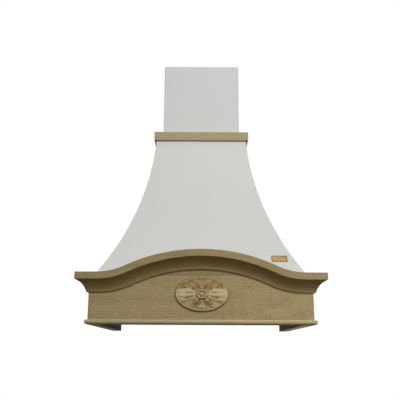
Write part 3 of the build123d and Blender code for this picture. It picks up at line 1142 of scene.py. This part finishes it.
@dataclass
class Dome:
    """The painted panels, the bare brass plate on the front one, and the ribs."""

    plate_pixel: Pair = (279.4, 258.9)
    plate_width: float = 40.0 * MM
    plate_height: float = 21.5 * MM
    plate_thickness: float = 1.2 * MM
    plate_border: float = 2.2 * MM
    plate_corner: float = 1.5 * MM
    plate_step: float = 0.35 * MM
    plate_ease: float = 0.18 * MM
    plate_fold: float = math.radians(50.0)

    def dress(self) -> None:
        """Paints the panels and gives the ribs their plywood."""
        for side, outward in (("front", (0.0, -0.95, 0.3)), ("left", (-0.95, 0.0, 0.3)),
                              ("right", (0.95, 0.0, 0.3))):
            dress(f"{side}_skin", SatinPaint(outward))
        for hand, sign in HANDS:
            for rib, axis in (("rear", BACK), ("side", BACK), ("front", (1.0, 0.0, 0.0)),
                              ("hip", self.hip_axis(sign))):
                dress(f"{hand}_{rib}_rib", Plywood(axis))
        for node in ("deck_ring", "collar_plate"):
            dress(node, Plywood((0.0, 0.0, 1.0)))

    @staticmethod
    def hip_axis(sign: float) -> Direction:
        """The direction through a hip rib's thickness, in plan.

        Args:
            sign: -1 for the left rib, 1 for the right.

        Returns:
            The unit direction.
        """
        low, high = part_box("front_skin")
        top_low, top_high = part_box("collar_plate")
        run_x, run_y = high.x - top_high.x, top_low.y - low.y
        length = math.hypot(run_x, run_y)
        return (run_y / length * sign, run_x / length, 0.0)

    def shape_plate(self) -> Mesh:
        """Shapes the bare plate, with rounded corners and a low step inside its border.

        Returns:
            The plate lying flat, with its back at the origin.
        """
        mesh = bmesh.new()
        bmesh.ops.create_cube(mesh, size=1.0)
        bmesh.ops.scale(mesh, verts=mesh.verts, vec=(self.plate_width, self.plate_height,
                                                     self.plate_thickness))
        bmesh.ops.translate(mesh, verts=mesh.verts, vec=(0, 0, self.plate_thickness / 2))
        corners = [e for e in mesh.edges if abs(e.verts[0].co.z - e.verts[1].co.z) > 1e-6]
        bmesh.ops.bevel(mesh, geom=corners, offset=self.plate_corner, segments=4, profile=0.5,
                        affect="EDGES", material=-1)
        top = max(mesh.faces, key=lambda f: f.calc_center_median().z)
        for width, drop in ((self.plate_border, 0.0), (self.plate_step, -self.plate_step)):
            bmesh.ops.inset_individual(mesh, faces=[top], thickness=width, depth=drop)
        edges = [e for e in mesh.edges if e.calc_face_angle(0.0) > self.plate_fold
                 and max(v.co.z for v in e.verts) > self.plate_thickness - 1e-6]
        bmesh.ops.bevel(mesh, geom=edges, offset=self.plate_ease, segments=2, profile=0.5,
                        affect="EDGES", material=-1)
        layer = mesh.verts.layers.float.new("border")
        for vert in mesh.verts:
            vert[layer] = 1.0 if vert.co.z > self.plate_thickness - 0.3 * MM else 0.0
        return mesh

    def build_plate(self, eye: Vector, ray: Vector) -> bpy.types.Object:
        """Puts the bare plate where the ray from the camera meets the front panel.

        Args:
            eye: the camera's place.
            ray: the direction to the plate's middle.

        Returns:
            The plate's object.
        """
        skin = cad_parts["front_skin"]
        tree = BVHTree.FromObject(skin, bpy.context.evaluated_depsgraph_get())
        place, normal, _, _ = tree.ray_cast(eye, ray)
        side = Vector((0, 0, 1)).cross(normal).normalized()
        turn = Matrix((side, normal.cross(side), normal)).transposed().to_4x4()
        mesh = self.shape_plate()
        bmesh.ops.transform(mesh, matrix=Matrix.Translation(place) @ turn, verts=mesh.verts)
        bmesh.ops.recalc_face_normals(mesh, faces=mesh.faces[:])
        return add_piece("brass_plate", mesh, BrushedBrass(), body="cover")


@dataclass
class Chimney:
    """The painted chimney and the battens inside it."""

    paint: Colour = (0.610, 0.626, 0.608)
    # Painted shade: the chimney's paint darker towards its top.
    painted_shade_rate: float = 0.34
    level: float = 0.40

    def dress(self) -> None:
        """Paints the panels outside and gives the battens their pine."""
        for side, outward in (("front", (0.0, -1.0, 0.0)), ("left", (-1.0, 0.0, 0.0)),
                              ("right", (1.0, 0.0, 0.0))):
            dress(f"chimney_{side}_panel", SatinPaint(outward, self.paint,
                                                      painted_shade_rate=self.painted_shade_rate, level=self.level))
        for number in range(2):
            hand, place = ("left", "right")[number], ("upper", "lower")[number]
            dress(f"{hand}_chimney_batten", PlanedPine(Along.Z, 5.0 + number))
            dress(f"{place}_chimney_tie", PlanedPine(Along.X, 9.0 + number))


@dataclass
class InnerBattens:
    """Bearers, cleats, blocks and rails inside the cover."""

    along_x: tuple[str, ...] = ("front_insert_bearer", "front_deck_cleat", "lower_wall_rail",
                                "hanging_rail")
    along_y: tuple[str, ...] = ("insert_bearer", "deck_cleat", "seat_rail")
    # Painted shade and light: the left bearer darker, the right one lighter.
    bearer_painted_light: dict[str, float] = field(
        default_factory=lambda: {"left": 0.36, "right": 1.4})

    def dress(self) -> None:
        """Gives each batten a pine finish with the grain along it."""
        for number, node in enumerate(self.along_x):
            dress(node, PlanedPine(Along.X, 20.0 + 1.7 * number))
        for number, kind in enumerate(self.along_y):
            for hand, shift in (("left", 0.0), ("right", 7.3)):
                # The bearers take their painted shade and light.
                tone = self.bearer_painted_light[hand] if kind == "insert_bearer" else 1.0
                dress(f"{hand}_{kind}", PlanedPine(Along.Y, 31.0 + 1.9 * number + shift, tone))
        for number, hand in enumerate(("left", "right")):
            dress(f"{hand}_corner_block", PlanedPine(Along.Z, 55.0 + number))


@dataclass
class Screws:
    """Countersunk cross-head screws that hold the battens to the boards and panels.

    Shares says how far along a batten each screw stands.
    """

    head_radius: float = 3.8 * MM
    head_rise: float = 0.4 * MM
    head_depth: float = 2.2 * MM
    shank_radius: float = 1.6 * MM
    recess_reach: float = 2.3 * MM
    recess_depth: float = 1.4 * MM
    slot_width: float = 0.45 * MM
    steps: int = 48
    rings: int = 14
    shares: tuple[float, ...] = (0.12, 0.50, 0.88)

    def head_profile(self) -> list[Pair]:
        """Lists the head's outline from its middle to the start of the shank.

        Returns:
            Pairs of radius and height.
        """
        parts = [k / self.rings for k in range(self.rings + 1)]
        dome = [(self.head_radius * part, self.head_rise * (1.0 - part ** 2)) for part in parts]
        return dome + [(self.shank_radius, -self.head_depth)]

    def recess(self, x: float, y: float) -> float:
        """How deep the cross recess is at a place on the head.

        Args:
            x: place along one slot.
            y: place along the other slot.

        Returns:
            The depth, 0 outside the cross.
        """
        reach = math.hypot(x, y)
        if reach > self.recess_reach:
            return 0.0
        off_slot = min(abs(x), abs(y)) - self.slot_width
        wall = 1.0 - fade(off_slot, 0.0, 0.25 * MM)
        return self.recess_depth * wall * (1.0 - reach / self.recess_reach)

    def add_head(self, mesh: Mesh, place: Vector, normal: Vector, turn: float) -> None:
        """Adds one head to a mesh.

        Args:
            mesh: the bmesh that collects the heads.
            place: the screw's place on the surface.
            normal: the direction out of the surface.
            turn: how far the screw has been turned, in radians.
        """
        before = set(mesh.verts)
        verts = [mesh.verts.new((radius, 0.0, height)) for radius, height in self.head_profile()]
        edges = [mesh.edges.new(pair) for pair in zip(verts, verts[1:])]
        bmesh.ops.spin(mesh, geom=verts + edges, cent=(0, 0, 0), axis=(0, 0, 1),
                       angle=2.0 * math.pi, steps=self.steps, use_merge=True)
        head = [vert for vert in mesh.verts if vert not in before]
        for vert in head:
            if vert.co.z > -self.head_depth / 2:
                vert.co.z -= self.recess(vert.co.x, vert.co.y)
        matrix = Matrix.Translation(place) @ normal.to_track_quat("Z", "Y").to_matrix().to_4x4()
        bmesh.ops.transform(mesh, matrix=matrix @ Matrix.Rotation(turn, 4, "Z"), verts=head)

    def build_row(self, name: str, nodes: dict[str, Vector], along: Along, body: str) -> None:
        """Makes one object of the screws of several battens.

        Args:
            name: the object's name.
            nodes: the batten nodes and the directions their screwed faces look in.
            along: the axis that the screws are spread along, where it isn't across the face.
            body: the body that the screws ride on.
        """
        mesh = bmesh.new()
        for number, (node, normal) in enumerate(nodes.items()):
            low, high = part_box(node)
            spread = Along.X if along is Along.Y and normal.y else along
            axis, size = spread.value, high - low
            for k, share in enumerate(self.shares):
                place = (low + high) / 2 + normal * size / 2
                place[axis] = low[axis] + size[axis] * share
                self.add_head(mesh, place, normal, 0.7 * k + 1.3 * number)
        bmesh.ops.remove_doubles(mesh, verts=mesh.verts[:], dist=1e-6)
        bmesh.ops.recalc_face_normals(mesh, faces=mesh.faces[:])
        add_piece(name, mesh, ZincSteel(), body)

    def build(self) -> None:
        """Builds the screws of the bearers, the deck cleats and the chimney battens."""
        inwards = {"left": Vector((1, 0, 0)), "right": Vector((-1, 0, 0)),
                   "front": Vector((0, 1, 0))}
        for kind in ("insert_bearer", "deck_cleat"):
            nodes = {f"{hand}_{kind}": normal for hand, normal in inwards.items()}
            self.build_row(f"{kind}_screws", nodes, Along.Y, "cover")
        battens = {f"{hand}_chimney_batten": Vector((0, 1, 0)) for hand in ("left", "right")}
        self.build_row("chimney_batten_screws", battens, Along.Z, "chimney")


# ---- camera, light and floor


def eye_rays(tree: bpy.types.NodeTree) -> bpy.types.NodeSocket:
    """Tells the rays that reach the eye, straight, mirrored or through glass, from the rest.

    Args:
        tree: the node tree of a world or a material.

    Returns:
        An output that is 1 for those rays, else 0.
    """
    path = tree.nodes.new("ShaderNodeLightPath")
    seen = path.outputs["Is Camera Ray"]
    for name in ("Is Glossy Ray", "Is Transmission Ray"):
        larger = tree.nodes.new("ShaderNodeMath")
        larger.operation = "MAXIMUM"
        tree.links.new(seen, larger.inputs[0])
        tree.links.new(path.outputs[name], larger.inputs[1])
        seen = larger.outputs[0]
    return seen


@dataclass(frozen=True)
class FloorPaint(Finish):
    """Pale matt floor paint, lighter to the eye than to the light it bounces."""

    word: ClassVar[str] = "matt"
    seen: Colour = (0.86, 0.86, 0.85)
    bounced: Colour = (0.27, 0.265, 0.25)
    glow: Colour = (0.42, 0.42, 0.415)
    mottle_scale: float = 3.0
    roughness: float = 0.85
    relief: Relief = Relief(0.1 * MM, 0.1)

    def material(self) -> Material:
        """Builds the material.

        Returns:
            Faintly mottled paint.
        """
        graph = Graph()
        mottle = graph.noise(graph.place(), self.mottle_scale)
        eye = Flow(graph, eye_rays(graph.tree))
        colour = graph.tint(graph.blend(eye, self.bounced, self.seen), 0.98 + mottle * 0.03)
        graph.shade(Emission_Color=graph.blend(eye, (0.0, 0.0, 0.0), self.glow),
                    Emission_Strength=1.0)
        return graph.finish(colour, self.roughness, mottle, self.relief)


@dataclass(frozen=True)
class Lamp:
    """A square soft lamp: its place, its side in metres and its power in watts."""

    name: str
    place: tuple[float, float, float]
    size: float
    power: float

    def build(self, target: Vector) -> None:
        """Adds the lamp to the scene.

        Args:
            target: what it points at.
        """
        data = bpy.data.lights.new(self.name, "AREA")
        data.size, data.energy = self.size, self.power
        place = Vector(self.place)
        turn = (place - target).to_track_quat("Z", "Y").to_matrix().to_4x4()
        lamp = bpy.data.objects.new(self.name, data)
        lamp.matrix_world = Matrix.Translation(place) @ turn
        bpy.context.scene.collection.objects.link(lamp)


@dataclass
class Studio:
    """The photograph's viewpoint, with soft light from above and a pale floor."""

    picture: float = 400.0
    focal_pixels: float = 610.98
    sensor: float = 36.0
    eye: Vector = field(default_factory=lambda: Vector((-6.59, -1944.34, -335.24)) * MM)
    yaw: float = 0.119
    pitch: float = 13.966
    roll: float = 0.243
    clip: Pair = (0.05, 50.0)
    target: Vector = field(default_factory=lambda: Vector((0.0, -0.25, -0.05)))
    lamps: tuple[Lamp, ...] = (
        Lamp("high_softbox", (0.4, -3.6, 2.5), 1.3, 97.0),
        Lamp("front_softbox", (0.5, -2.4, 0.2), 1.6, 12.0),
        Lamp("top_softbox", (0.1, -0.5, 2.3), 1.2, 7.0),
        Lamp("left_softbox", (-3.0, 0.35, 1.1), 1.4, 34.0),
        Lamp("right_softbox", (3.0, 0.35, 1.1), 1.4, 34.0),
    )
    room_light: float = 0.04
    floor_drop: float = 1.55
    floor_size: float = 9.0

    def directions(self) -> tuple[Vector, Vector, Vector]:
        """Works out the camera's axes.

        Returns:
            The camera's right, up and forward directions.
        """
        yaw, pitch, roll = (math.radians(a) for a in (self.yaw, self.pitch, self.roll))
        forward = Vector((math.sin(yaw) * math.cos(pitch), math.cos(yaw) * math.cos(pitch),
                          math.sin(pitch)))
        level = Vector((math.cos(yaw), -math.sin(yaw), 0.0))
        upright = level.cross(forward)
        right = math.cos(roll) * level + math.sin(roll) * upright
        up = -math.sin(roll) * level + math.cos(roll) * upright
        return right, up, forward

    def ray(self, pixel: Pair) -> Vector:
        """Works out the direction in which the camera sees a pixel.

        Args:
            pixel: the place in the 400 by 400 picture, across and down.

        Returns:
            The unit direction.
        """
        right, up, forward = self.directions()
        across, down = (place - self.picture / 2 for place in pixel)
        return (forward * self.focal_pixels + right * across - up * down).normalized()

    def build_camera(self) -> None:
        """Makes the camera and sets it as the scene's."""
        right, up, forward = self.directions()
        data = bpy.data.cameras.new("camera")
        data.sensor_fit = "HORIZONTAL"
        data.sensor_width = self.sensor
        data.lens = self.focal_pixels / self.picture * self.sensor
        data.clip_start, data.clip_end = self.clip
        camera = bpy.data.objects.new("camera", data)
        turn = Matrix((right, up, -forward)).transposed().to_4x4()
        camera.matrix_world = Matrix.Translation(self.eye) @ turn
        bpy.context.scene.collection.objects.link(camera)
        bpy.context.scene.camera = camera

    def light(self) -> None:
        """Sets the lamps and a world that is white to the eye and nearly dark as light."""
        for lamp in self.lamps:
            lamp.build(self.target)
        world = bpy.data.worlds.new("studio_world")
        bpy.context.scene.world = world
        world.use_nodes = True
        tree = world.node_tree
        background = tree.nodes["Background"]
        strength = tree.nodes.new("ShaderNodeMapRange")
        strength.inputs["To Min"].default_value = self.room_light
        tree.links.new(eye_rays(tree), strength.inputs["Value"])
        tree.links.new(strength.outputs[0], background.inputs["Strength"])
        background.inputs["Color"].default_value = (1.0, 1.0, 1.0, 1.0)

    def build_floor(self) -> None:
        """Lays the floor below the cover."""
        mesh = bmesh.new()
        bmesh.ops.create_grid(mesh, x_segments=8, y_segments=8, size=self.floor_size / 2)
        level = CAD_BOX[0].z - self.floor_drop
        bmesh.ops.translate(mesh, verts=mesh.verts, vec=(0.0, self.target.y, level))
        new_object("floor", mesh, FloorPaint())


def main() -> None:
    """Builds the cover's looks, piece by piece, and then the studio."""
    logging.basicConfig(level=logging.INFO, format="%(message)s")
    bpy.context.scene.view_settings.view_transform = "Standard"
    OakBox().dress()
    OakBand().dress()
    Rosette().build()
    dome = Dome()
    dome.dress()
    Chimney().dress()
    InnerBattens().dress()
    Screws().build()
    studio = Studio()
    studio.build_camera()
    dome.build_plate(studio.eye, studio.ray(dome.plate_pixel))
    studio.light()
    studio.build_floor()


if __name__ == "__main__":
    main()
